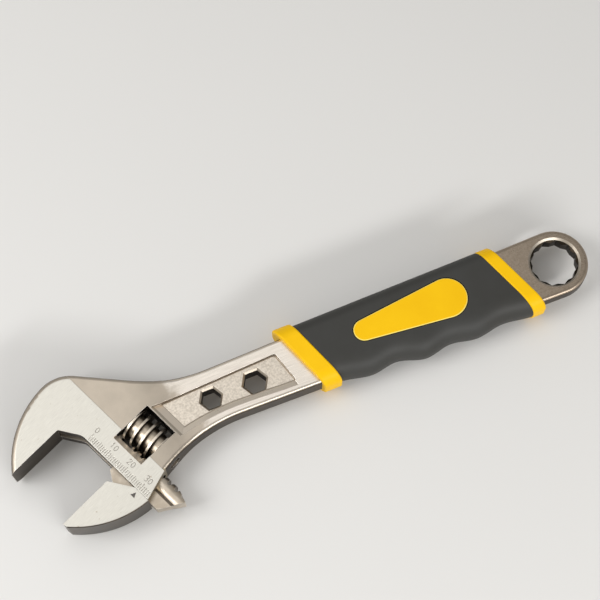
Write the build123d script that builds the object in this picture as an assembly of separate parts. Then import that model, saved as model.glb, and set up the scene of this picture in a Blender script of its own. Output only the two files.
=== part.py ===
from build123d import *
import os
from math import atan, cos, degrees, pi, radians, sin, tan

# Adjustable wrench, 10 inch class, with a two-colour grip and a ring socket in its tail.
# Frame: origin at the ring socket's centre on the wrench's mid-plane, head towards -X,
# fixed jaw on the +Y side, +Z out of the face that carries the scale. Millimetres, degrees.

# ---- head: places are (a, b), a along the jaw faces towards the handle, b along the jaw's slide
HEAD_ANGLE = 24.0
HEAD_ORIGIN = (-216.7, 11.2)      # where the fixed jaw's face meets the line of the slide edge
HEAD_HALF = 8.0                   # ground faces
SATIN_HALF = 7.5                  # forged faces beside them
GROUND_WIDTH = 13.0               # ground band, measured from the slide edge
FACE_TIP_A = -31.4
FACE_ROOT_A = -5.5
RELIEF_END = (-1.7, 6.3)
SLIDE_EDGE_START = 10.5
HEAD_END = 47.5                   # the slide edge's lower end
HEAD_HEEL = (13.7, 43.6)
BACK_CORNERS = ((-240.2, 19.4), (-215.2, 32.6))
BACK_RADII = (44.0, 16.0)
HEAD_EDGE_ROUND = 2.2

# ---- engraved scale: one line for each millimetre of opening, on the upper face
SCALE_ZERO_B = 12.0
SCALE_LENGTH = 34
SCALE_LINE_A = 0.5                # where each line starts
SCALE_LINE_LENGTHS = {10: 3.3, 5: 2.9, 1: 2.5}
SCALE_FIGURE_A = 5.9
FIGURE_SIZE = (1.3, 2.3)
FIGURE_PITCH = 2.0
SCRIBE_WIDTH = 0.26
SCRIBE_DEPTH = 0.12

# ---- shank, panel and ring
SHANK_HALF = 5.5
RING_HALF = 4.0
RING_RADIUS = 14.6
SOCKET_FLATS = 18.0
SOCKET_MOUTH = ((11.3, 4.0), (10.42, 3.1), (9.3, 2.3))   # radius and height down its two cones
UPPER_NECK = (-172.9, 69.0, 1.2)  # corner's x, its fillet radius, and the side's taper to the ring
LOWER_NECK = (-166.5, 65.0, 1.0)
HEAD_SLOPE_X = (-190.0, -166.0)   # the faces come down from SATIN_HALF to SHANK_HALF here
EDGE_ROUND = 1.7
FRONT_SHOULDER_X = -113.7         # at y = 0
REAR_SHOULDER_X = -21.3
PROFILE_STEP_X = -60.0
TANG_HALF_WIDTH = 10.2            # the shank is thinner inside the grip
TANG_HALF = 4.0
PANEL_DEPTH = 1.2
PANEL_SHOULDER = (2.3, 0.8)       # the slope along the panel's lower side: its width and its drop
PANEL_GROOVE = (0.6, 0.35)        # the groove round the panel's floor: width and depth
PANEL_CORNERS = ((-183.6, 4.0), (-126.5, 6.6))
PANEL_CORNER_ROUND = 1.3
PANEL_LOWER_EDGE = ((-122.4, -7.4), (-140.0, -6.6), (-150.0, -6.3), (-160.0, -6.8), (-170.0, -8.3),
                    (-177.3, -10.0))
PANEL_RAMP_A = (28.1, 32.3)       # the ramp beside the worm window, which leaves a thin lip standing
PANEL_RAMP_TOP = 5.9
HEX_HOLES = ((-158.2, -1.2, 8.0), (-138.6, -1.3, 9.0))
HEX_RIM = 0.8

# ---- worm window, worm, pin and spring
WINDOW_A = (10.1, 27.5)
WINDOW_B = (18.9, 35.2)
WINDOW_BEVEL = 1.9
WORM_A = 19.3
WORM_RADIUS = 7.6
WORM_ROOT = 5.2
WORM_PITCH = 4.0
WORM_CREST_B = 20.35              # one crest's place on the rack's side
WORM_END_GAP = 0.15
CREST_WIDTH = 1.0
THREAD_BASE = 1.8
WORM_BORE = 1.9
POCKET_RADIUS = 3.4
POCKET_DEPTH = 6.0
SPRING_RADIUS = 2.65
SPRING_WIRE = 0.35
SPRING_PITCH = 1.3
PIN_RADIUS = 1.82
PIN_SEAT_DEPTH = 5.0
PIN_HEAD_RADIUS = 2.75
PIN_HEAD_B = (35.4, 41.0)
PIN_SLOT = (0.8, 1.1)             # width and depth
HOLE_GAP = 0.03

# ---- moving jaw
JAW_OPENING = 30.0
JAW_FACE_A = (-30.7, -6.2)        # in the moving jaw, b is counted from its face
JAW_TIP = (-30.4, 2.4)
JAW_BELLY = (-17.0, 13.2)
JAW_HEEL_B = 18.2
JAW_RELIEF_B = 10.2
JAW_EDGE_ROUND = 0.5
SLIDE_A = 8.6
SLIDE_RADIUS = 4.2
SLIDE_GAP = 0.1
SLIDE_TOP_B = -3.6                # the slide's upper end, counted from the jaw's face
SLIDE_END_B = 22.0                # its lower end at a = 0
SLIDE_END_SLANT = 33.0
WEB_HALF = 3.0
POINTER_A = -2.3
POINTER_SIZE = 2.2
JAW_GAP = 0.08                    # between the jaw's back and the slide edge
RACK_DEPTH = 2.3
RACK_MOUTH = 2.4                  # width of a tooth space at the tips
RACK_FLOOR = 1.2
CHANNEL_TOP_B = -8.0
SLOT_TOP_B = -4.2

# ---- grip
GRIP_HALF = 9.0
GRIP_BACK_ROUND = 6.0
GRIP_FINGER_ROUND = 8.5
GRIP_BACK_EDGE = ((-124.0, 15.4), (-10.0, 16.8))
GRIP_FINGER_EDGE = ((-10.0, -16.9), (-19.5, -17.3), (-31.8, -15.9), (-43.7, -17.6), (-55.3, -15.7),
                    (-67.0, -17.6), (-79.3, -14.3), (-89.5, -15.7), (-102.3, -13.6), (-113.0, -14.1))
COLLAR_SLANT = 21.0
COLLAR_HALF = 9.2
COLLAR_ROUND = 7.0
COLLAR_EDGE = 0.7
FRONT_COLLAR = (-117.7, -109.7, 17.0, -14.8)   # x of its two ends at y = 0, upper and lower y
REAR_COLLAR = (-24.3, -18.3, 16.9, -17.6)
SLEEVE_WALL = 1.4
TEARDROP = ((-88.1, 1.1, 4.7), (-50.4, 1.1, 8.8))
TEARDROP_HALF = 9.1
TEARDROP_EDGE = 0.4
TEARDROP_GROOVE = (0.35, 0.6)      # the gap left round it in the cover: width and depth

U = Vector(cos(radians(HEAD_ANGLE)), sin(radians(HEAD_ANGLE)))
S = Vector(sin(radians(HEAD_ANGLE)), -cos(radians(HEAD_ANGLE)))
HEAD_LOCATION = Location((HEAD_ORIGIN[0], HEAD_ORIGIN[1], 0), (0, 0, HEAD_ANGLE))
WORM_B = (WINDOW_B[0] + WORM_END_GAP, WINDOW_B[1] - WORM_END_GAP)


def head_point(a, b):
    """A place in the head, in the part's own frame."""
    return Vector(*HEAD_ORIGIN) + U * a + S * b


def head_coordinates(point):
    """The (a, b) of a place in the part's frame."""
    offset = Vector(point.X, point.Y) - Vector(*HEAD_ORIGIN)
    return offset.dot(U), offset.dot(S)


def slide_plane(a, b):
    """A plane square to the slide: its x runs along z, its y along a, its normal along b."""
    return Plane(origin=head_point(a, b), x_dir=(0, 0, 1), z_dir=S)


def head_outline(corners):
    """A flat outline in the head, given by its (a, b) corners."""
    return make_face(Polyline(*[head_point(a, b) for a, b in corners], close=True))


def slab(face, half):
    """A flat outline made solid, the same height each side of the mid-plane."""
    return extrude(face, amount=half, both=True)


def head_box(a_range, b_range, z_range):
    """A block square to the jaws."""
    size = (a_range[1] - a_range[0], b_range[1] - b_range[0], z_range[1] - z_range[0])
    middle = (sum(a_range) / 2, -sum(b_range) / 2, sum(z_range) / 2)
    return HEAD_LOCATION * Pos(*middle) * Box(*size)


def head_rod(a, b_range, radius):
    """A round bar along the slide's direction."""
    return extrude(slide_plane(a, b_range[0]) * Circle(radius), b_range[1] - b_range[0])


def both_faces(cutter):
    """The same cutter on the upper face and the lower face."""
    return [cutter, mirror(cutter, about=Plane.XY)]


def ring_tangent(taper, side):
    """Where a side of the shank meets the ring."""
    return (-RING_RADIUS * sin(radians(taper)), side * RING_RADIUS * cos(radians(taper)))


def shank_side(x, taper, side):
    """A place on a side of the shank."""
    return (x, side * (RING_RADIUS / cos(radians(taper)) + x * tan(radians(taper))))


# ---------------------------------------------------------------- wrench body
def body_outline():
    tip = head_point(FACE_TIP_A, 0)
    upper_x, upper_radius, upper_taper = UPPER_NECK
    lower_x, lower_radius, lower_taper = LOWER_NECK
    upper_end = ring_tangent(upper_taper, 1)
    lower_end = ring_tangent(lower_taper, -1)
    back = FilletPolyline(tip, *BACK_CORNERS, shank_side(upper_x, upper_taper, 1), upper_end,
                          radius=[*BACK_RADII, upper_radius])
    ring = ThreePointArc(upper_end, (RING_RADIUS, 0), lower_end)
    belly = FilletPolyline(lower_end, shank_side(lower_x, lower_taper, -1), head_point(*HEAD_HEEL),
                           radius=lower_radius)
    end = Polyline(head_point(*HEAD_HEEL), head_point(0, HEAD_END), head_point(0, SLIDE_EDGE_START))
    root = Bezier(head_point(0, SLIDE_EDGE_START), head_point(0, 8.6), head_point(*RELIEF_END))
    face = Polyline(head_point(*RELIEF_END), head_point(FACE_ROOT_A, 0), tip)
    pieces = (back, ring, belly, end, root, face)
    return make_face(Wire([edge for piece in pieces for edge in piece.edges()]))


def shank_profile():
    """Side view of the forged faces, from the head's satin face down to the ring."""
    x0, x1 = HEAD_SLOPE_X
    middle = (x0 + x1) / 2
    edges = []
    for side in (1, -1):
        top, low, ring = side * SATIN_HALF, side * SHANK_HALF, side * RING_HALF
        edges += Polyline((-216, 0), (-216, top), (x0, top)).edges()
        edges += Bezier((x0, top), (middle, top), (middle, low), (x1, low)).edges()
        edges += Polyline((x1, low), (PROFILE_STEP_X, low), (PROFILE_STEP_X, ring), (20, ring)).edges()
        edges += Line((20, ring), (20, 0)).edges()
    return make_face(Plane.XZ * Wire(edges))


def slanted_slab(x0, x1, half_width, half):
    """A block across the handle whose ends lean like the collars."""
    lean = half_width * tan(radians(COLLAR_SLANT))
    upper = [(x0 - lean, half_width), (x1 - lean, half_width)]
    lower = [(x1 + lean, -half_width), (x0 + lean, -half_width)]
    return slab(make_face(Polyline(*upper, *lower, close=True)), half)


def fixed_jaw_and_head(outline):
    """The ground part of the head, with its outer edge rounded."""
    satin_side = head_box((GROUND_WIDTH, 90), (-80, 90), (-20, 20))
    handle_side = Pos(-160, 0, 0) * Box(400, 200, 40, align=(Align.MIN, Align.CENTER, Align.CENTER))
    head = slab(outline, HEAD_HALF) - satin_side - handle_side
    rim = []
    for edge in head.edges():
        a, b = head_coordinates(edge @ 0.5)
        if abs(abs((edge @ 0.5).Z) - HEAD_HALF) < 0.01 and b < -0.5 and a < GROUND_WIDTH - 0.1:
            rim.append(edge)
    return fillet(rim, HEAD_EDGE_ROUND)


def shank_and_ring(outline):
    """The forged part behind the ground face, with all its long edges rounded."""
    jaw_side = head_box((-90, GROUND_WIDTH), (-80, 90), (-20, 20))
    profile = extrude(shank_profile(), amount=60, both=True)
    shank = (slab(outline, HEAD_HALF) - jaw_side) & profile
    inside_grip = slanted_slab(FRONT_SHOULDER_X, REAR_SHOULDER_X, 30, 20)
    tang = Box(400, 2 * TANG_HALF_WIDTH, 2 * TANG_HALF)
    shank = shank - (inside_grip - tang)
    rim = []
    for edge in shank.edges():
        middle = edge @ 0.5
        on_outline = abs(middle.Y) > TANG_HALF_WIDTH + 1 or middle.X > 10
        behind_ground_band = head_coordinates(middle)[0] > GROUND_WIDTH + 0.1
        if abs(middle.Z) > RING_HALF - 0.1 and on_outline and behind_ground_band:
            rim.append(edge)
    return fillet(rim, EDGE_ROUND)


def panel_outline(shoulder=0.0, inset=0.0):
    """The panel seen from above; shoulder widens its lower side, and inset draws every side in."""
    (start_x, start_y), (end_x, end_y) = PANEL_CORNERS
    lower = [(x, y - shoulder + inset) for x, y in PANEL_LOWER_EDGE]
    lower[0] = (lower[0][0] - inset, lower[0][1])
    sides = FilletPolyline(lower[-1], (start_x, start_y - inset), (end_x - inset, end_y - inset), lower[0],
                           radius=PANEL_CORNER_ROUND)
    return make_face(Wire([*sides.edges(), Spline(*lower)]))


def panel_cutters():
    """The panel with a grooved floor and a sloping shoulder, starting at a ramp beside the worm window."""
    floor_z = SHANK_HALF - PANEL_DEPTH
    (ramp_top, ramp_foot), (width, drop) = PANEL_RAMP_A, PANEL_SHOULDER
    groove_width, groove_depth = PANEL_GROOVE
    groove_z = floor_z - groove_depth
    side_view = Polyline((ramp_top, HEAD_HALF), (ramp_top, PANEL_RAMP_TOP), (ramp_foot, floor_z),
                         (ramp_foot, groove_z), (90, groove_z), (90, HEAD_HALF), close=True)
    across = Plane(origin=head_point(0, 0), x_dir=U, z_dir=S)
    room = extrude(across * make_face(side_view), amount=90, both=True)
    inner, outer = panel_outline(), panel_outline(shoulder=width)
    plateau = extrude(panel_outline(inset=groove_width), floor_z)
    pocket = Pos(0, 0, groove_z) * extrude(inner, HEAD_HALF) - plateau
    slope = loft([Pos(0, 0, SHANK_HALF - drop) * inner, Pos(0, 0, SHANK_HALF) * outer])
    above = Pos(0, 0, SHANK_HALF) * extrude(outer, HEAD_HALF)
    return [cutter for shape in (pocket, slope, above) for cutter in both_faces(shape & room)]


def hex_hole(x, y, flats):
    """A through hexagon with a chamfered rim on both floors of the panel."""
    floor = SHANK_HALF - PANEL_DEPTH
    hole = Pos(x, y, 0) * extrude(RegularPolygon(flats / 2, 6, major_radius=False), 20, both=True)
    narrow = RegularPolygon(flats / 2, 6, major_radius=False)
    wide = RegularPolygon(flats / 2 + HEX_RIM, 6, major_radius=False)
    rim = Pos(x, y, floor - HEX_RIM) * loft([narrow.face(), Pos(0, 0, HEX_RIM) * wide.face()])
    return [hole, *both_faces(rim)]


def ring_socket():
    """Twelve-point socket: two hexagons, with a mouth of two cones on each face."""
    hexagon = RegularPolygon(SOCKET_FLATS / 2, 6, major_radius=False)
    points = extrude(hexagon, 20, both=True) + extrude(Rot(0, 0, 30) * hexagon, 20, both=True)
    cutters = [points]
    for (upper, top), (lower, foot) in zip(SOCKET_MOUTH, SOCKET_MOUTH[1:]):
        cutters += both_faces(Pos(0, 0, (top + foot) / 2) * Cone(lower, upper, top - foot))
    return cutters


def worm_window():
    """The window through the head and the bevel along its scale side."""
    window = head_box(WINDOW_A, WINDOW_B, (-20, 20))
    edge_a = WINDOW_A[0]
    foot_z = HEAD_HALF - WINDOW_BEVEL
    bevel = Polyline((edge_a - WINDOW_BEVEL, HEAD_HALF), (edge_a + 1, HEAD_HALF), (edge_a + 1, foot_z),
                     (edge_a, foot_z), close=True)
    across = Plane(origin=head_point(0, WINDOW_B[0]), x_dir=U, z_dir=S)
    wedge = extrude(across * make_face(bevel), WINDOW_B[1] - WINDOW_B[0])
    return [window, *both_faces(wedge)]


def slide_channel():
    """The keyhole that guides the moving jaw: a round bore and a slot out to the slide edge."""
    bore = head_rod(SLIDE_A, (CHANNEL_TOP_B, 70), SLIDE_RADIUS + SLIDE_GAP)
    corners = [(-6, 0.3), (-1.9, SLOT_TOP_B), (SLIDE_A, SLOT_TOP_B), (SLIDE_A, 70), (-6, 70)]
    return [bore, slab(head_outline(corners), WEB_HALF + SLIDE_GAP)]


def pin_holes():
    """The hole for the worm pin's head, from the lower edge, and the blind seat of its far end."""
    entry = head_rod(WORM_A, (WINDOW_B[1] - 1, 60), PIN_HEAD_RADIUS + HOLE_GAP)
    seat = head_rod(WORM_A, (WINDOW_B[0] - PIN_SEAT_DEPTH, WINDOW_B[0] + 1), PIN_RADIUS + HOLE_GAP)
    return [entry, seat]


def figure(symbol):
    """The strokes of one engraved figure, upright and centred."""
    w, h = FIGURE_SIZE[0] / 2, FIGURE_SIZE[1] / 2
    half_line = SCRIBE_WIDTH / 2
    if symbol == "0":
        return [Ellipse(w + half_line, h + half_line) - Ellipse(w - half_line, h - half_line)]
    strokes = {
        "1": [Polyline((-0.5 * w, 0.6 * h), (0, h), (0, -h))],
        "2": [ThreePointArc((-w, 0.55 * h), (0, h), (w, 0.5 * h)),
              Polyline((w, 0.5 * h), (-w, -h), (w, -h))],
        "3": [ThreePointArc((-w, 0.7 * h), (w, 0.5 * h), (-0.2 * w, 0.05 * h)),
              ThreePointArc((-0.2 * w, 0.05 * h), (w, -0.5 * h), (-w, -0.7 * h))],
    }
    return [trace(stroke, SCRIBE_WIDTH) for stroke in strokes[symbol]]


def engraved(outline, a, b):
    """An outline sunk into the upper ground face, with its top towards the handle."""
    floor = Plane(origin=head_point(a, b), x_dir=S).offset(HEAD_HALF - SCRIBE_DEPTH)
    return floor * extrude(outline, 1)


def scale_marks():
    """A line for each millimetre, longer at fives and tens, and a number at each ten."""
    marks = []
    for reading in range(SCALE_LENGTH + 1):
        step = max(step for step in SCALE_LINE_LENGTHS if reading % step == 0)
        length = SCALE_LINE_LENGTHS[step]
        middle_a = SCALE_LINE_A + length / 2
        marks.append(engraved(Rectangle(SCRIBE_WIDTH, length), middle_a, SCALE_ZERO_B + reading))
        if step == 10:
            for place, symbol in enumerate(str(reading)):
                along = (place - (len(str(reading)) - 1) / 2) * FIGURE_PITCH
                place_b = SCALE_ZERO_B + reading + along
                marks += [engraved(stroke, SCALE_FIGURE_A, place_b) for stroke in figure(symbol)]
    return marks


def wrench_body():
    outline = body_outline()
    body = fixed_jaw_and_head(outline) + shank_and_ring(outline)
    cutters = [*worm_window(), *slide_channel(), *pin_holes(), *panel_cutters(), *ring_socket()]
    for hole in HEX_HOLES:
        cutters += hex_hole(*hole)
    for cutter in cutters:
        body = body - cutter
    return body - scale_marks()


# ---------------------------------------------------------------- moving jaw
def jaw_plate():
    """The jaw itself, as thick as the head."""
    heel = head_point(-JAW_GAP, JAW_OPENING + JAW_HEEL_B)
    tip = head_point(JAW_TIP[0], JAW_OPENING + JAW_TIP[1])
    belly = head_point(JAW_BELLY[0], JAW_OPENING + JAW_BELLY[1])
    face_start = head_point(JAW_FACE_A[0], JAW_OPENING)
    sides = Polyline(tip, face_start, head_point(JAW_FACE_A[1], JAW_OPENING),
                     head_point(-JAW_GAP, JAW_OPENING + JAW_RELIEF_B), heel)
    plate = slab(make_face(Wire([*sides.edges(), ThreePointArc(heel, belly, tip)])), HEAD_HALF)
    rim = [edge for edge in plate.edges() if edge.geom_type == GeomType.CIRCLE]
    return fillet(rim, JAW_EDGE_ROUND)


def rack_gap(b):
    """One tooth space, leaning by the worm's lead."""
    lead = degrees(atan(WORM_PITCH / (2 * pi * WORM_RADIUS)))
    tip, floor = SLIDE_RADIUS, SLIDE_RADIUS - RACK_DEPTH
    flare = (RACK_MOUTH - RACK_FLOOR) / RACK_DEPTH
    outer = RACK_MOUTH / 2 + flare / 2
    inner = RACK_FLOOR / 2
    outline = Polyline((floor, -inner), (tip + 1, -outer), (tip + 1, outer), (floor, inner), close=True)
    space = Rot(-lead, 0, 0) * slab(make_face(outline), SLIDE_RADIUS + 2)
    return HEAD_LOCATION * Pos(SLIDE_A, -b, 0) * space


def jaw_slide():
    """The web and the round slide, cut off aslant at the lower end and toothed on the worm's side."""
    top = JAW_OPENING + SLIDE_TOP_B
    end = JAW_OPENING + SLIDE_END_B
    rod = head_rod(SLIDE_A, (top, end + 12), SLIDE_RADIUS)
    corners = [(-4.6, JAW_OPENING + 1.0), (-1.7, top), (SLIDE_A, top), (SLIDE_A, end + 12), (0.5, end + 12),
               (0, JAW_OPENING + JAW_HEEL_B), (-4.6, JAW_OPENING + 12)]
    slide = rod + slab(head_outline(corners), WEB_HALF)
    drop = 40 * tan(radians(SLIDE_END_SLANT))
    rack_side = SLIDE_A + SLIDE_RADIUS
    below_end = [(-20, end - drop / 2), (20, end + drop / 2), (20, end + 40), (-20, end + 40)]
    lead_in = [(rack_side, end - 0.5), (rack_side + 4, end - 0.5), (rack_side + 4, end + 12),
               (SLIDE_A + 1, end + 8)]
    slide = slide - slab(head_outline(below_end), 20) - slab(head_outline(lead_in), 20)
    first = int((top - WORM_CREST_B) / WORM_PITCH) + 1
    last = int((end + 8 - WORM_CREST_B) / WORM_PITCH)
    for step in range(first, last + 1):
        slide = slide - rack_gap(WORM_CREST_B + step * WORM_PITCH)
    return slide


def moving_jaw():
    """Jaw and slide, with the triangular pointer that reads the scale."""
    half = POINTER_SIZE / 2
    triangle = make_face(Polyline((-half, -half), (half, -half), (0, half), close=True))
    return jaw_plate() + jaw_slide() - engraved(triangle, POINTER_A, SCALE_ZERO_B + JAW_OPENING)


# ---------------------------------------------------------------- worm, pin and spring
def worm():
    """Single-start right-hand screw on its core, with the pin's bore and the spring's pocket."""
    start, end = WORM_B
    core = head_rod(WORM_A, WORM_B, WORM_ROOT)
    first_b = WORM_CREST_B - 1.5 * WORM_PITCH
    height = WORM_PITCH * (int((end - first_b) / WORM_PITCH) + 1)
    helix = Helix(WORM_PITCH, height, WORM_ROOT - 0.4)
    frame = Plane(origin=head_point(WORM_A, first_b), x_dir=U, z_dir=S)
    inner, outer = THREAD_BASE / 2, CREST_WIDTH / 2
    depth = WORM_RADIUS - WORM_ROOT + 0.4
    section = Polyline((0, -inner), (depth, -outer), (depth, outer), (0, inner), close=True)
    section = Pos(WORM_ROOT - 0.4, 0, 0) * Rot(90, 0, 0) * make_face(section)
    ridge = frame * sweep(section, path=helix, is_frenet=True)
    blank = head_rod(WORM_A, WORM_B, WORM_RADIUS + 1)
    screw = core + (ridge & blank)
    bore = head_rod(WORM_A, (start - 1, end + 1), WORM_BORE)
    pocket = head_rod(WORM_A, (start - 1, start + POCKET_DEPTH), POCKET_RADIUS)
    return screw - bore - pocket


def worm_pin():
    """Plain rod with a thicker head that has a driver slot."""
    rod = head_rod(WORM_A, (WINDOW_B[0] - PIN_SEAT_DEPTH + 0.2, PIN_HEAD_B[0] + 1), PIN_RADIUS)
    pin = rod + head_rod(WORM_A, PIN_HEAD_B, PIN_HEAD_RADIUS)
    width, depth = PIN_SLOT
    end = PIN_HEAD_B[1]
    slot = head_box((WORM_A - 10, WORM_A + 10), (end - depth, end + 1), (-width / 2, width / 2))
    return pin - slot


def worm_spring():
    """Compression spring round the pin, in the worm's pocket."""
    start = WINDOW_B[0] + 0.05 + SPRING_WIRE
    end = WORM_B[0] + POCKET_DEPTH - 0.1 - SPRING_WIRE
    helix = Helix(SPRING_PITCH, end - start, SPRING_RADIUS)
    wire = Pos(SPRING_RADIUS, 0, 0) * Rot(90, 0, 0) * Circle(SPRING_WIRE)
    frame = Plane(origin=head_point(WORM_A, start), x_dir=U, z_dir=S)
    return frame * sweep(wire, path=helix, is_frenet=True)


# ---------------------------------------------------------------- grip
def collar(x0, x1, upper_y, lower_y):
    """A raised band round one end of the grip."""
    middle = (x0 + x1) / 2
    blank = Pos(middle, (upper_y + lower_y) / 2, 0) * Box(60, upper_y - lower_y, 2 * COLLAR_HALF)
    long_edges = blank.edges().filter_by(Axis.X)
    blank = fillet(long_edges, COLLAR_ROUND)
    band = blank & slanted_slab(x0, x1, 30, 20)
    rim = []
    for edge in band.edges():
        if abs((edge @ 0.5).Z) > COLLAR_HALF - 0.01 and abs((edge % 0.5).Y) > 0.5:
            rim.append(edge)
    return fillet(rim, COLLAR_EDGE)


def teardrop(half, margin=0.0):
    """Two round ends joined by their tangents, with a margin all round."""
    x0, y, small = TEARDROP[0]
    x1, _, large = TEARDROP[1]
    small, large = small + margin, large + margin
    lean = (large - small) / (x1 - x0)
    rise = (1 - lean * lean) ** 0.5
    ends = [(x0 - small * lean, small * rise), (x1 - large * lean, large * rise)]
    upper = Line((ends[0][0], y + ends[0][1]), (ends[1][0], y + ends[1][1]))
    lower = Line((ends[1][0], y - ends[1][1]), (ends[0][0], y - ends[0][1]))
    right = ThreePointArc(upper @ 1, (x1 + large, y), lower @ 0)
    left = ThreePointArc(lower @ 1, (x0 - small, y), upper @ 0)
    return slab(make_face(Wire([upper, right, lower, left])), half)


def grip_core(body):
    """First shot: a sleeve on the tang, both collars, and an island on each face."""
    sleeve = Box(400, 2 * (TANG_HALF_WIDTH + SLEEVE_WALL), 2 * (TANG_HALF + SLEEVE_WALL))
    sleeve = sleeve & slanted_slab(FRONT_COLLAR[0] + 1, REAR_COLLAR[1] - 1, 30, 20)
    island = teardrop(TEARDROP_HALF)
    rim = [edge for edge in island.edges() if edge.bounding_box().size.Z < 0.01]
    core = sleeve + fillet(rim, TEARDROP_EDGE) + collar(*FRONT_COLLAR) + collar(*REAR_COLLAR)
    return core - body


def grip_cover(body, core):
    """Second shot: the dark cover between the collars, with finger hollows on its lower side."""
    back = Line(*GRIP_BACK_EDGE)
    fingers = Spline(*GRIP_FINGER_EDGE)
    outline = make_face(Wire([back, Line(back @ 1, fingers @ 0), fingers, Line(fingers @ 1, back @ 0)]))
    blank = slab(outline, GRIP_HALF)
    long_edges = [edge for edge in blank.edges() if edge.length > 90]
    back_edges = [edge for edge in long_edges if (edge @ 0.5).Y > 0]
    blank = fillet(back_edges, GRIP_BACK_ROUND)
    finger_edges = [edge for edge in blank.edges() if edge.length > 90 and (edge @ 0.5).Y < -9]
    blank = fillet(finger_edges, GRIP_FINGER_ROUND)
    cover = blank & slanted_slab(FRONT_COLLAR[1], REAR_COLLAR[0], 40, 20)
    width, depth = TEARDROP_GROOVE
    groove = teardrop(GRIP_HALF + 1, width) - teardrop(GRIP_HALF - depth, width)
    return cover - core - body - groove


def main():
    body = wrench_body()
    core = grip_core(body)
    nodes = {
        "wrench_body": body,
        "moving_jaw": moving_jaw(),
        "worm": worm(),
        "worm_pin": worm_pin(),
        "worm_spring": worm_spring(),
        "grip_core": core,
        "grip_cover": grip_cover(body, core),
    }
    os.makedirs("parts", exist_ok=True)
    for name, shape in nodes.items():
        export_step(shape, f"parts/{name}.step")


if __name__ == "__main__":
    main()
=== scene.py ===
import math

import bpy
from mathutils import Matrix, Vector


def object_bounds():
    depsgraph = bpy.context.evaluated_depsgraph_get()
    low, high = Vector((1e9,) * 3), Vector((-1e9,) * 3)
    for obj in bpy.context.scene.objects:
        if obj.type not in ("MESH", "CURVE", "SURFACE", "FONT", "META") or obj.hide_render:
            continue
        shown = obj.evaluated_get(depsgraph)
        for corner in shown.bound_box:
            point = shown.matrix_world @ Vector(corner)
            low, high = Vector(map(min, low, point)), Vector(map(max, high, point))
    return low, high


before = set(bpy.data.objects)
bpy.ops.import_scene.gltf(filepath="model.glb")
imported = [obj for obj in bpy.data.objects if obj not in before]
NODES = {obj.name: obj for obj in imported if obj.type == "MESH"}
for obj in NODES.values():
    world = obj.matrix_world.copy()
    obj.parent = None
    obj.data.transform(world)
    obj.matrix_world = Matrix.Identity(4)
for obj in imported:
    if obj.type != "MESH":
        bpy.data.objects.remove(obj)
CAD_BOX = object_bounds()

MM = 0.001

# The head's own frame: x along the jaw faces towards the handle, -y along the jaw's slide.
HEAD_ORIGIN = (-216.7 * MM, 11.2 * MM, 0)
HEAD_ANGLE = math.radians(24)
SLIDE_DIRECTION = (math.sin(HEAD_ANGLE), -math.cos(HEAD_ANGLE), 0)

# Distances from the mid-plane that tell the surfaces apart.
GROUND_Z = 8.0 * MM
GROUND_RISE = (0.9935 * GROUND_Z, 0.9965 * GROUND_Z)
SCRIBE_DEPTH = 0.12 * MM          # how far the scale is cut below the ground face
SHANK_Z = 5.5 * MM
PANEL_FLOOR_Z = 4.3 * MM
WEB_Z = 3.0 * MM
COVER_GROOVE_Z = 8.4 * MM
ISLAND_EDGE_Z = 8.65 * MM

# Round parts: the jaw's slide, and the worm's axis in the head's x with its thread's two radii.
SLIDE_RADIUS = 4.2 * MM
WORM_AXIS_X = 19.3 * MM
WORM_CORE = 5.2 * MM
WORM_CREST = 7.6 * MM

# Areas in the head's frame: lowest and highest x, then lowest and highest y.
SCALE_AREA = ((0.3 * MM, 7.7 * MM), (-46.6 * MM, -11.0 * MM))
POINTER_AREA = ((-3.8 * MM, -0.8 * MM), (-43.6 * MM, -40.4 * MM))
WINDOW_AREA = ((9.95 * MM, 27.65 * MM), (-35.35 * MM, -18.75 * MM))
HEAD_END_AREA = ((-0.2 * MM, 13.9 * MM), (-48.0 * MM, -41.0 * MM))
WEB_TIP_AREA = ((-4.7 * MM, 0), (-40.5 * MM, -25.0 * MM))
WINDOW_BEVEL_AREA = ((8.1 * MM, 10.1 * MM), (-35.3 * MM, -18.8 * MM))

# Places along the wrench's x, then along the head's x: where a zone begins and where it is full.
SHANK_START_X = (-190 * MM, -185 * MM)
SHANK_END_X = (-110.0 * MM, -110.5 * MM)
RING_X = (-30 * MM, -28 * MM)
RAIL_HEAD_X = (44 * MM, 52 * MM)
RACK_HEAD_X = (10.2 * MM, 12.3 * MM)

# Lowest and highest places: the inlays in x, the panel in y, and the slide's crease in the head's x.
ISLAND_X = (-94 * MM, -40 * MM)
PANEL_Y = (-10.3 * MM, 7.2 * MM)
CREASE_HEAD_X = (5.2 * MM, 5.9 * MM)

# Upright holes: the centre's x and y, and the radius that holds the whole hole.
RING_HOLE = ((0, 0), 10.42 * MM)
RING_MOUTH = ((0, 0), 11.6 * MM)
HEX_HOLES = (((-158.2 * MM, -1.2 * MM), 4.7 * MM), ((-138.6 * MM, -1.3 * MM), 5.3 * MM))
HEX_RIM = 1.1 * MM                # how far a hexagon's bevelled rim reaches beyond its hole

# How level a face is, 0 for upright and 1 for flat: where a zone begins and where it is full.
BODY_FLAT = (0.93, 0.993)
JAW_FLAT = (0.9, 0.985)
SATIN_LEVEL = (0.35, 0.95)
RAIL_LEVEL = (0.75, 0.97)
RING_LEVEL = (0.25, 0.6)
WALL_LEVEL = (0.6, 0.3)
HEX_WALL_LEVEL = (0.5, 0.3)
RACK_LEVEL = (0.9, 0.5)
ISLAND_EDGE_LEVEL = (0.995, 0.93)
GROOVE_WALL_LEVEL = (0.7, 0.5)
GROOVE_FLOOR_LEVEL = (0.99, 0.998)

# Bevels, by the least and greatest levelness, and how softly they end.
RIM_BEVEL = (0.60, 0.78, 0.03)
PANEL_BEVEL = (0.80, 0.975, 0.01)

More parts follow.
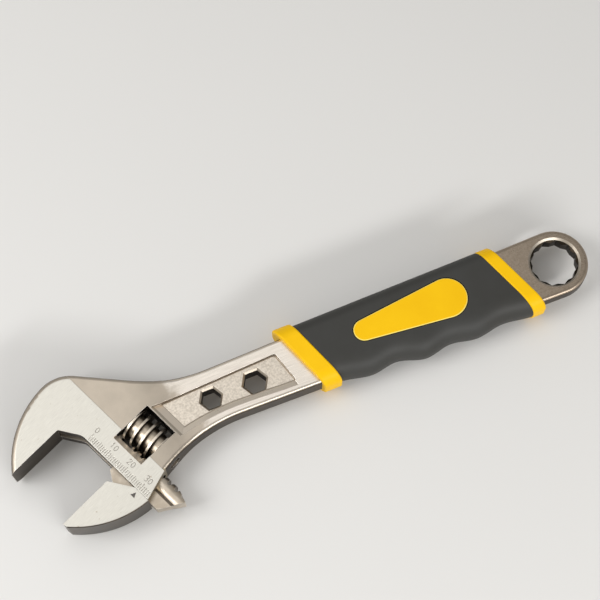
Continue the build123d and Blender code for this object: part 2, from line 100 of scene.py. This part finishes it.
# Softness of a zone's border, coarse and fine.
SOFT = 0.1 * MM
CRISP = 0.01 * MM

# Grain, by how finely the noise is drawn along each axis.
GRINDING_GRAIN = (250, 7000, 250)
BRUSHING_GRAIN = (100, 4000, 4000)
SPECKS = (0.70, 0.76)             # the noise levels between which a dark speck begins
RAIL_WANDER = 16 * MM             # how far the border of the rails' polish wanders

# Linear colours.
GROUND_STEEL = (0.735, 0.71, 0.64)
GROUND_DARK = (0.61, 0.585, 0.525)
SATIN_STEEL = (0.48, 0.42, 0.345)
SATIN_PALE = (0.55, 0.48, 0.395)
RAIL_STEEL = (0.80, 0.735, 0.655)
RAIL_DARK = (0.65, 0.595, 0.525)
PANEL_STEEL = (0.62, 0.555, 0.47)
PANEL_PALE = (0.82, 0.745, 0.645)
RAMP_STEEL = (0.80, 0.71, 0.60)
# the ring's plain steel, its brown tint partly a painted reflection
RING_STEEL_AND_REFLECTION = (0.42, 0.345, 0.27)
RING_DARK_AND_REFLECTION = (0.34, 0.275, 0.21)
# painted highlight on the bevelled mouth of the ring's hole
RING_MOUTH_HIGHLIGHT = (0.56, 0.50, 0.42)
# painted shade: upright walls darker than level faces, standing in for the dark they reflect
SIDE_SHADE_STEEL = (0.05, 0.039, 0.029)
SIDE_SHADE_PALE = (0.10, 0.080, 0.061)
SLIDE_STEEL = (0.74, 0.66, 0.55)
SLIDE_DARK = (0.48, 0.41, 0.325)
END_STEEL = (0.34, 0.29, 0.205)
WORM_STEEL = (0.55, 0.475, 0.38)
WORM_DARK = (0.43, 0.365, 0.29)
CREST_STEEL = (0.74, 0.66, 0.55)
# worn bright metal on sharp edges, partly a painted highlight
WORN_HIGHLIT_EDGE = (0.92, 0.88, 0.81)
SCALE_GREY = (0.42, 0.39, 0.34)
POINTER_GREY = (0.13, 0.12, 0.11)
# painted shade for the slide's crease, the rack's teeth and the worm's flanks
SHADE_BROWN = (0.10, 0.08, 0.06)
# painted shade for the groove and walls round the shank's panel
PANEL_GROOVE_SHADE = (0.40, 0.33, 0.255)
# painted shade for the dark walls inside the window and the holes
HOLE_SHADE_BROWN = (0.030, 0.023, 0.016)
YELLOW = (0.91, 0.54, 0.004)
YELLOW_DEEP = (0.87, 0.50, 0.003)
# painted highlight along the yellow plastic's rounded edges
YELLOW_EDGE_HIGHLIGHT = (0.99, 0.80, 0.20)
CHARCOAL = (0.034, 0.033, 0.029)
CHARCOAL_PALE = (0.040, 0.040, 0.037)
# painted shade for the groove round the grip's inlays
GROOVE_SHADE_BLACK = (0.006, 0.006, 0.005)
PIN_STEEL = (0.45, 0.42, 0.37)
SPRING_STEEL = (0.5, 0.48, 0.45)
FLOOR_GREY = (0.72, 0.71, 0.69)
DAYLIGHT = (1.0, 0.99, 0.97)

# How far sharp edges turn bright, partly worn and partly a painted highlight on the metal and a painted
# highlight on the plastic, and how strongly the grip's two plastics reflect.
METAL_EDGE_WEAR_AND_HIGHLIGHT = 0.75
PLASTIC_EDGE_HIGHLIGHT = 0.85
YELLOW_SHEEN = 0.12
RUBBER_SHEEN = 0.35
BEVEL_SAMPLES = 4

# The studio: half the floor's side, and the strength of the light that comes from all round.
FLOOR_HALF = 3.0
AMBIENT = 0.45

# Softboxes: the place, the place that each faces, its two sides and its surface's radiance.
HEAD_MIDDLE = (-0.20, 0.0, 0.0)
WRENCH_MIDDLE = (-0.11, 0.0, 0.0)
SOFTBOXES = {
    "overhead": ((-0.24, 0.24, 0.75), HEAD_MIDDLE, (0.75, 0.5), 0.78),
    "left_key": ((-0.75, 0.10, 0.60), WRENCH_MIDDLE, (0.45, 0.45), 5.5),
    "front_strip": ((0.05, -0.80, 0.42), WRENCH_MIDDLE, (0.9, 0.10), 18.0),
}

# The camera: its place, what it faces and its upward direction, then its lens in millimetres.
CAMERA_PLACE = (-0.1901, -0.1781, 0.6479)
CAMERA_TARGET = (-0.1081, 0.0238, 0.008)
CAMERA_UP = (0.376, 0.927, 0)
CAMERA_LENS = 96
CAMERA_SENSOR = 36


# ---------------------------------------------------------------- shader helpers
def new_material(name):
    """An empty node material: itself, its tree and its shader."""
    material = bpy.data.materials.new(name)
    material.use_nodes = True
    return material, material.node_tree, material.node_tree.nodes["Principled BSDF"]


def set_input(tree, socket, value):
    """Links a socket to the input, or sets its number, vector or colour."""
    if isinstance(value, bpy.types.NodeSocket):
        tree.links.new(value, socket)
    elif socket.type == "RGBA" and len(value) == 3:
        socket.default_value = (*value, 1)
    else:
        socket.default_value = value


def add(tree, kind, inputs=None, **settings):
    """A node with its settings and its inputs, which are given by name or by number."""
    node = tree.nodes.new(kind)
    for name, value in settings.items():
        setattr(node, name, value)
    for name, value in (inputs or {}).items():
        set_input(tree, node.inputs[name], value)
    return node


def calculate(tree, operation, *values):
    """One arithmetic step on numbers."""
    return add(tree, "ShaderNodeMath", dict(enumerate(values)), operation=operation).outputs[0]


def overlap(tree, *masks):
    """The product of masks: 1 where all of them are."""
    product = masks[0]
    for mask in masks[1:]:
        product = calculate(tree, "MULTIPLY", product, mask)
    return product


def either(tree, *masks):
    """The largest of masks: 1 where any of them is."""
    largest = masks[0]
    for mask in masks[1:]:
        largest = calculate(tree, "MAXIMUM", largest, mask)
    return largest


def ramp(tree, value, low, high):
    """0 at low, 1 at high, and smooth between them; low may be the larger."""
    return add(tree, "ShaderNodeMapRange", {"Value": value, "From Min": low, "From Max": high},
               interpolation_type="SMOOTHSTEP").outputs["Result"]


def within(tree, value, low, high, soft):
    """1 between low and high, falling to 0 over soft outside them."""
    return overlap(tree, ramp(tree, value, low - soft, low), ramp(tree, value, high + soft, high))


def near(tree, value, middle, reach, soft):
    """1 within reach of the middle, falling to 0 over soft outside it."""
    return within(tree, value, middle - reach, middle + reach, soft)


def mix_colours(tree, factor, first, second):
    """From the first colour at 0 to the second at 1."""
    return add(tree, "ShaderNodeMix", {0: factor, 6: first, 7: second}, data_type="RGBA").outputs[2]


def patchy(tree, field, first, second, low=0.3, high=0.7):
    """Two colours in patches that follow a noise field."""
    return mix_colours(tree, ramp(tree, field, low, high), first, second)


def dimmed(colour, share):
    """The colour with only a share of its brightness."""
    return tuple(share * channel for channel in colour)


def mix_numbers(tree, factor, first, second):
    """From the first number at 0 to the second at 1."""
    return add(tree, "ShaderNodeMix", {0: factor, 2: first, 3: second}, data_type="FLOAT").outputs[0]


def noise(tree, vector, scale, detail=3.0, roughness=0.55):
    """A noise field from 0 to 1; a larger scale is finer."""
    return add(tree, "ShaderNodeTexNoise", {"Vector": vector, "Scale": scale, "Detail": detail,
                                            "Roughness": roughness}).outputs["Fac"]


def separated(tree, vector):
    """The three numbers of a vector."""
    parts = add(tree, "ShaderNodeSeparateXYZ", {0: vector})
    return parts.outputs["X"], parts.outputs["Y"], parts.outputs["Z"]


def scaled(tree, vector, factors):
    """Coordinates stretched by a factor for each axis, so that noise becomes a grain."""
    return add(tree, "ShaderNodeVectorMath", {0: vector, 1: factors}, operation="MULTIPLY").outputs[0]


class Surface:
    """What a material reads from a piece: where a point is and which way it faces."""

    def __init__(self, tree):
        place = tree.nodes.new("ShaderNodeTexCoord")
        self.at = place.outputs["Object"]
        self.x, self.y, self.z = separated(tree, self.at)
        self.height = calculate(tree, "ABSOLUTE", self.z)
        self.facing = calculate(tree, "ABSOLUTE", separated(tree, place.outputs["Normal"])[2])
        self.towards_end = add(tree, "ShaderNodeVectorMath", {0: place.outputs["Normal"], 1: SLIDE_DIRECTION},
                               operation="DOT_PRODUCT").outputs["Value"]
        self.in_head = add(tree, "ShaderNodeMapping", {"Vector": self.at, "Location": HEAD_ORIGIN,
                                                       "Rotation": (0, 0, HEAD_ANGLE)},
                           vector_type="TEXTURE").outputs[0]
        self.head_x, self.head_y, _ = separated(tree, self.in_head)


def in_area(tree, surface, area):
    """1 over an area of the head."""
    (low_x, high_x), (low_y, high_y) = area
    return overlap(tree, within(tree, surface.head_x, low_x, high_x, CRISP),
                   within(tree, surface.head_y, low_y, high_y, CRISP))


def scribed(tree, surface, area):
    """1 in the lines cut into the ground upper face inside an area of the head."""
    depth = within(tree, surface.z, GROUND_Z - 2 * SCRIBE_DEPTH, GROUND_Z - 0.1 * SCRIBE_DEPTH, 0.001 * MM)
    return overlap(tree, depth, in_area(tree, surface, area))


def in_hole(tree, surface, hole):
    """1 inside an upright hole."""
    (x, y), radius = hole
    flat_place = scaled(tree, surface.at, (1, 1, 0))
    distance = add(tree, "ShaderNodeVectorMath", {0: flat_place, 1: (x, y, 0)}, operation="DISTANCE")
    return ramp(tree, distance.outputs["Value"], radius + 0.04 * MM, radius)


def sharp_edges(tree, radius, low=0.03, high=0.22):
    """1 on sharp outer edges and 0 on faces, from how far a rounded normal leans."""
    rounded = add(tree, "ShaderNodeBevel", {"Radius": radius}, samples=BEVEL_SAMPLES)
    geometry = tree.nodes.new("ShaderNodeNewGeometry")
    lean = add(tree, "ShaderNodeVectorMath", {0: rounded.outputs[0], 1: geometry.outputs["Normal"]},
               operation="DOT_PRODUCT").outputs["Value"]
    return ramp(tree, calculate(tree, "SUBTRACT", 1.0, lean), low, high)


def finish_surface(tree, shader, colour, roughness, height, bump_depth, edge_radius, metallic):
    """Joins colour, roughness and bump to the shader, over softened edges."""
    rounded = add(tree, "ShaderNodeBevel", {"Radius": edge_radius}, samples=BEVEL_SAMPLES)
    bump = add(tree, "ShaderNodeBump", {"Height": height, "Strength": 1.0, "Distance": bump_depth,
                                        "Normal": rounded.outputs[0]})
    set_input(tree, shader.inputs["Base Color"], colour)
    set_input(tree, shader.inputs["Roughness"], roughness)
    set_input(tree, shader.inputs["Normal"], bump.outputs[0])
    shader.inputs["Metallic"].default_value = metallic


# ---------------------------------------------------------------- metal
def ground_finish(tree, surface, grinding, speck_scale):
    """Bright steel in streaks that follow the grinding, with a few darker specks."""
    bright = patchy(tree, grinding, GROUND_STEEL, GROUND_DARK, 0.2, 0.8)
    specks = ramp(tree, noise(tree, surface.at, speck_scale, 2), *SPECKS)
    return mix_colours(tree, specks, bright, SATIN_STEEL)


def edges_worn_and_highlit(tree, colour, radius):
    """The colour, brightened along its sharp edges by wear and by a painted highlight."""
    worn = calculate(tree, "MULTIPLY", sharp_edges(tree, radius), METAL_EDGE_WEAR_AND_HIGHLIGHT)
    return mix_colours(tree, worn, colour, WORN_HIGHLIT_EDGE)


def panel_masks(tree, surface, flat):
    """The shank's sunken panel: its floor, its bevels, and the groove and walls round it, which take painted
    shade.
    """
    height = surface.height
    shank = overlap(tree, ramp(tree, surface.x, *SHANK_START_X), ramp(tree, surface.x, *SHANK_END_X))
    floor = overlap(tree, near(tree, height, PANEL_FLOOR_Z, 0.06 * MM, SOFT), flat, shank)
    bevels = overlap(tree, within(tree, height, PANEL_FLOOR_Z + 0.1 * MM, SHANK_Z - 0.02 * MM, CRISP),
                     within(tree, surface.facing, *PANEL_BEVEL), shank)
    in_panel = overlap(tree, within(tree, surface.y, *PANEL_Y, SOFT), shank)
    shaded_groove = ramp(tree, height, PANEL_FLOOR_Z - 0.1 * MM, PANEL_FLOOR_Z - 0.2 * MM)
    walls = ramp(tree, surface.facing, *WALL_LEVEL)
    return floor, bevels, overlap(tree, either(tree, shaded_groove, walls), in_panel)


def hole_masks(tree, surface, ring):
    """The walls of the window and of the holes, which take painted shade, the hexagons' bevelled rims, and
    the ring's mouth, which takes a painted highlight.
    """
    facing = surface.facing
    bevel = within(tree, facing, *RIM_BEVEL)
    window = overlap(tree, in_area(tree, surface, WINDOW_AREA), ramp(tree, facing, *WALL_LEVEL))
    walls = [window, in_hole(tree, surface, RING_HOLE)]
    rims = []
    for place, radius in HEX_HOLES:
        in_hexagon = in_hole(tree, surface, (place, radius))
        walls.append(overlap(tree, in_hexagon, ramp(tree, facing, *HEX_WALL_LEVEL)))
        rims.append(overlap(tree, in_hole(tree, surface, (place, radius + HEX_RIM)), bevel))
    mouth = overlap(tree, ring, bevel, in_hole(tree, surface, RING_MOUTH))
    return either(tree, *walls), either(tree, *rims), mouth


def body_steel():
    """Satin plated forging with a ground head, polished rails, a cast-grained panel and a plain ring whose
    brown tone is partly a painted reflection; painted shade darkens its upright walls, holes and panel
    groove, and painted highlights brighten its worn edges and the ring's mouth.
    """
    material, tree, shader = new_material("plated_forging")
    surface = Surface(tree)
    at, facing = surface.at, surface.facing

    mottle = noise(tree, at, 90, 5)
    fine = noise(tree, at, 2200, 3)
    cast = noise(tree, at, 1100, 4, 0.65)
    grinding = noise(tree, scaled(tree, surface.in_head, GRINDING_GRAIN), 1.0, 2)
    brushing = noise(tree, scaled(tree, at, BRUSHING_GRAIN), 1.0, 3)
    wander = calculate(tree, "MULTIPLY", noise(tree, at, 220, 4), RAIL_WANDER)
    ragged_x = calculate(tree, "ADD", surface.head_x, wander)

    flat = ramp(tree, facing, *BODY_FLAT)
    end = overlap(tree, in_area(tree, surface, HEAD_END_AREA), ramp(tree, surface.towards_end, 0.3, 0.6))
    ground = overlap(tree, ramp(tree, surface.height, *GROUND_RISE), flat)
    rail = overlap(tree, ramp(tree, ragged_x, *RAIL_HEAD_X), ramp(tree, facing, *RAIL_LEVEL))
    ring = overlap(tree, ramp(tree, surface.x, *RING_X), ramp(tree, facing, *RING_LEVEL))
    floor, bevels, shaded_groove = panel_masks(tree, surface, flat)
    walls, rims, mouth = hole_masks(tree, surface, ring)

    # Painted shade: upright walls are painted much darker than level faces, blending over the bevels by how
    # level they are.
    shaded_side = patchy(tree, mottle, SIDE_SHADE_STEEL, SIDE_SHADE_PALE)
    satin = patchy(tree, mottle, SATIN_STEEL, SATIN_PALE)
    colour = mix_colours(tree, ramp(tree, facing, *SATIN_LEVEL), shaded_side, satin)
    colour = mix_colours(tree, end, colour, END_STEEL)
    colour = mix_colours(tree, rail, colour, patchy(tree, brushing, RAIL_STEEL, RAIL_DARK))
    colour = mix_colours(tree, bevels, colour, RAMP_STEEL)
    colour = mix_colours(tree, floor, colour, patchy(tree, cast, PANEL_STEEL, PANEL_PALE, 0.35, 0.65))
    # Painted shade in the groove and on the walls round the sunken panel.
    colour = mix_colours(tree, shaded_groove, colour, PANEL_GROOVE_SHADE)
    # The ring's plain face, tinted brown partly as a painted reflection.
    colour = mix_colours(tree, ring, colour, patchy(tree, cast, RING_STEEL_AND_REFLECTION, RING_DARK_AND_REFLECTION))
    colour = mix_colours(tree, ground, colour, ground_finish(tree, surface, grinding, 900))
    colour = mix_colours(tree, in_area(tree, surface, WINDOW_BEVEL_AREA), colour, RAMP_STEEL)
    # Sharp edges brightened, partly by wear and partly by a painted highlight.
    colour = edges_worn_and_highlit(tree, colour, 0.35 * MM)
    colour = mix_colours(tree, rims, colour, SATIN_STEEL)
    # Painted highlight on the bevel round the mouth of the ring's hole.
    colour = mix_colours(tree, mouth, colour, RING_MOUTH_HIGHLIGHT)
    # Painted shade: the walls of the window, the ring's hole and the hexagons are painted near black.
    colour = mix_colours(tree, walls, colour, HOLE_SHADE_BROWN)
    colour = mix_colours(tree, scribed(tree, surface, SCALE_AREA), colour, SCALE_GREY)

    roughness = mix_numbers(tree, mottle, 0.34, 0.46)
    roughness = mix_numbers(tree, rail, roughness, mix_numbers(tree, brushing, 0.22, 0.36))
    roughness = mix_numbers(tree, floor, roughness, 0.5)
    roughness = mix_numbers(tree, ground, roughness, mix_numbers(tree, grinding, 0.26, 0.40))

    grain = mix_numbers(tree, floor, calculate(tree, "MULTIPLY", fine, 0.3), cast)
    grain = mix_numbers(tree, ground, grain, calculate(tree, "MULTIPLY", grinding, 0.12))
    finish_surface(tree, shader, colour, roughness, grain,
                   bump_depth=0.07 * MM, edge_radius=0.2 * MM, metallic=1.0)
    return material


def jaw_steel():
    """Ground faces, side walls painted dark as shade, and a bright slide whose crease and rack teeth are
    painted with shade.
    """
    material, tree, shader = new_material("ground_jaw")
    surface = Surface(tree)
    mottle = noise(tree, surface.at, 120, 4)
    grinding = noise(tree, scaled(tree, surface.in_head, GRINDING_GRAIN), 1.0, 2)

    flat = ramp(tree, surface.facing, *JAW_FLAT)
    ground = overlap(tree, ramp(tree, surface.height, *GROUND_RISE), flat)
    web_tip = overlap(tree, ramp(tree, surface.height, WEB_Z + 0.04 * MM, WEB_Z + 0.01 * MM),
                      in_area(tree, surface, WEB_TIP_AREA))
    rod = overlap(tree, ramp(tree, surface.height, SLIDE_RADIUS + 0.2 * MM, SLIDE_RADIUS),
                  ramp(tree, surface.head_x, 0, 0.05 * MM))
    slide = either(tree, web_tip, rod)
    crease = overlap(tree, slide, within(tree, surface.head_x, *CREASE_HEAD_X, 0.4 * MM),
                     within(tree, surface.height, WEB_Z - 0.1 * MM, WEB_Z + 0.6 * MM, 0.2 * MM))
    rack = overlap(tree, ramp(tree, surface.head_x, *RACK_HEAD_X), ramp(tree, surface.facing, *RACK_LEVEL))

    # Painted shade: the jaw's upright walls are painted dark.
    shaded_side = patchy(tree, mottle, SIDE_SHADE_STEEL, SIDE_SHADE_PALE)
    worked = patchy(tree, mottle, SLIDE_STEEL, SLIDE_DARK)
    colour = mix_colours(tree, slide, shaded_side, worked)
    # Painted shade in the crease beside the slide and between the rack's teeth.
    colour = mix_colours(tree, either(tree, crease, rack), colour, SHADE_BROWN)
    colour = mix_colours(tree, ground, colour, ground_finish(tree, surface, grinding, 700))
    # Sharp edges brightened, partly by wear and partly by a painted highlight.
    colour = edges_worn_and_highlit(tree, colour, 0.3 * MM)
    colour = mix_colours(tree, scribed(tree, surface, POINTER_AREA), colour, POINTER_GREY)
    roughness = mix_numbers(tree, ground, mix_numbers(tree, mottle, 0.26, 0.4),
                            mix_numbers(tree, grinding, 0.24, 0.38))
    grain = calculate(tree, "MULTIPLY", grinding, 0.15)
    finish_surface(tree, shader, colour, roughness, grain,
                   bump_depth=0.05 * MM, edge_radius=0.2 * MM, metallic=1.0)
    return material


def worm_steel():
    """Turned steel, pale on the thread's crests and painted with shade on its flanks."""
    material, tree, shader = new_material("turned_worm")
    surface = Surface(tree)
    mottle = noise(tree, surface.at, 400, 4)
    crest_place = add(tree, "ShaderNodeCombineXYZ", {"X": surface.head_x, "Z": surface.z}).outputs[0]
    from_axis = add(tree, "ShaderNodeVectorMath", {0: crest_place, 1: (WORM_AXIS_X, 0, 0)},
                    operation="DISTANCE")
    radius = from_axis.outputs["Value"]
    flank = within(tree, radius, WORM_CORE + 0.3 * MM, WORM_CREST - 0.3 * MM, 0.2 * MM)
    crest = ramp(tree, radius, WORM_CREST - 0.2 * MM, WORM_CREST - 0.05 * MM)
    colour = patchy(tree, mottle, WORM_STEEL, WORM_DARK)
    # Painted shade on the thread's flanks, between the crests.
    colour = mix_colours(tree, flank, colour, SHADE_BROWN)
    colour = mix_colours(tree, crest, colour, CREST_STEEL)
    finish_surface(tree, shader, colour, mix_numbers(tree, mottle, 0.28, 0.42), mottle,
                   bump_depth=0.02 * MM, edge_radius=0.15 * MM, metallic=1.0)
    return material


def plain_steel(name, colour, scale):
    """Machined steel for the pin and the spring's wire."""
    material, tree, shader = new_material(name)
    mottle = noise(tree, Surface(tree).at, scale, 4)
    toned = patchy(tree, mottle, colour, dimmed(colour, 0.75))
    finish_surface(tree, shader, toned, mix_numbers(tree, mottle, 0.25, 0.42), mottle,
                   bump_depth=0.02 * MM, edge_radius=0.1 * MM, metallic=1.0)
    return material


# ---------------------------------------------------------------- grip
def yellow_plastic():
    """Satin moulded polymer, with a painted highlight along its rounded edges and the inlay's rim."""
    material, tree, shader = new_material("yellow_moulding")
    surface = Surface(tree)
    mottle = noise(tree, surface.at, 60, 4)
    grain = noise(tree, surface.at, 3500, 2)
    island_edge = overlap(tree, ramp(tree, surface.height, ISLAND_EDGE_Z, ISLAND_EDGE_Z + 0.05 * MM),
                          ramp(tree, surface.facing, *ISLAND_EDGE_LEVEL),
                          within(tree, surface.x, *ISLAND_X, SOFT))
    colour = patchy(tree, mottle, YELLOW, YELLOW_DEEP, 0.25, 0.75)
    edges = calculate(tree, "MULTIPLY", sharp_edges(tree, 0.8 * MM, 0.02, 0.25), PLASTIC_EDGE_HIGHLIGHT)
    # Painted highlight along the rounded edges and round the inlay's rim.
    colour = mix_colours(tree, either(tree, edges, island_edge), colour, YELLOW_EDGE_HIGHLIGHT)
    finish_surface(tree, shader, colour, mix_numbers(tree, mottle, 0.36, 0.46), grain,
                   bump_depth=0.02 * MM, edge_radius=0.3 * MM, metallic=0.0)
    shader.inputs["Specular IOR Level"].default_value = YELLOW_SHEEN
    return material


def charcoal_rubber():
    """Matte grip rubber with a fine moulded grain, and painted black shade in the groove round each inlay."""
    material, tree, shader = new_material("charcoal_rubber")
    surface = Surface(tree)
    mottle = noise(tree, surface.at, 45, 5)
    grain = noise(tree, surface.at, 2600, 3)
    above_floor = ramp(tree, surface.height, COVER_GROOVE_Z - 0.1 * MM, COVER_GROOVE_Z - 0.05 * MM)
    groove_walls = overlap(tree, above_floor, ramp(tree, surface.facing, *GROOVE_WALL_LEVEL))
    at_floor = near(tree, surface.height, COVER_GROOVE_Z, 0.02 * MM, CRISP)
    groove_floor = overlap(tree, at_floor, ramp(tree, surface.facing, *GROOVE_FLOOR_LEVEL))
    shaded_groove = either(tree, groove_walls, groove_floor)
    colour = patchy(tree, mottle, CHARCOAL, CHARCOAL_PALE, 0.25, 0.75)
    # Painted shade: the groove round each inlay is painted near black.
    colour = mix_colours(tree, shaded_groove, colour, GROOVE_SHADE_BLACK)
    finish_surface(tree, shader, colour, mix_numbers(tree, mottle, 0.48, 0.6), grain,
                   bump_depth=0.03 * MM, edge_radius=0.3 * MM, metallic=0.0)
    shader.inputs["Specular IOR Level"].default_value = RUBBER_SHEEN
    return material


# ---------------------------------------------------------------- studio
def paint(node, material):
    """The CAD node takes this material alone."""
    mesh = NODES[node].data
    mesh.materials.clear()
    mesh.materials.append(material)


def add_floor():
    """A pale floor at the wrench's lowest point, which isn't part of the object."""
    material, tree, shader = new_material("pale_floor")
    tone = noise(tree, Surface(tree).at, 6, 2)
    mottled = mix_colours(tree, tone, FLOOR_GREY, dimmed(FLOOR_GREY, 0.97))
    set_input(tree, shader.inputs["Base Color"], mottled)
    shader.inputs["Roughness"].default_value = 0.8
    mesh = bpy.data.meshes.new("studio_floor")
    lowest = CAD_BOX[0][2]
    signs = ((-1, -1), (1, -1), (1, 1), (-1, 1))
    corners = [(x * FLOOR_HALF, y * FLOOR_HALF, lowest) for x, y in signs]
    mesh.from_pydata(corners, [], [(0, 1, 2, 3)])
    mesh.materials.append(material)
    floor = bpy.data.objects.new("studio_floor", mesh)
    bpy.context.scene.collection.objects.link(floor)


def add_softbox(name, location, target, size, radiance):
    """A rectangular light whose surface is as bright as radiance says."""
    data = bpy.data.lights.new(name, "AREA")
    data.shape = "RECTANGLE"
    data.size, data.size_y = size
    data.energy = radiance * math.pi * size[0] * size[1]
    light = bpy.data.objects.new(name, data)
    light.location = location
    light.rotation_euler = (Vector(target) - Vector(location)).to_track_quat("-Z", "Y").to_euler()
    bpy.context.scene.collection.objects.link(light)


def add_lights():
    """The softboxes, an even surround, and colours shown without a film curve."""
    for name, settings in SOFTBOXES.items():
        add_softbox(name, *settings)
    world = bpy.data.worlds.new("studio")
    world.use_nodes = True
    background = world.node_tree.nodes["Background"]
    background.inputs["Color"].default_value = (*DAYLIGHT, 1)
    background.inputs["Strength"].default_value = AMBIENT
    bpy.context.scene.world = world
    bpy.context.scene.view_settings.view_transform = "Standard"


def add_camera():
    """A long lens high above the wrench, rolled about its line of sight."""
    data = bpy.data.cameras.new("camera")
    data.lens = CAMERA_LENS
    data.sensor_width = CAMERA_SENSOR
    camera = bpy.data.objects.new("camera", data)
    forward = (Vector(CAMERA_TARGET) - Vector(CAMERA_PLACE)).normalized()
    right = forward.cross(Vector(CAMERA_UP)).normalized()
    camera.location = CAMERA_PLACE
    camera.rotation_euler = Matrix((right, right.cross(forward), -forward)).transposed().to_euler()
    bpy.context.scene.collection.objects.link(camera)
    bpy.context.scene.camera = camera


paint("wrench_body", body_steel())
paint("moving_jaw", jaw_steel())
paint("worm", worm_steel())
paint("worm_pin", plain_steel("machined_pin", PIN_STEEL, 500))
paint("worm_spring", plain_steel("spring_wire", SPRING_STEEL, 900))
paint("grip_core", yellow_plastic())
paint("grip_cover", charcoal_rubber())
add_floor()
add_lights()
add_camera()
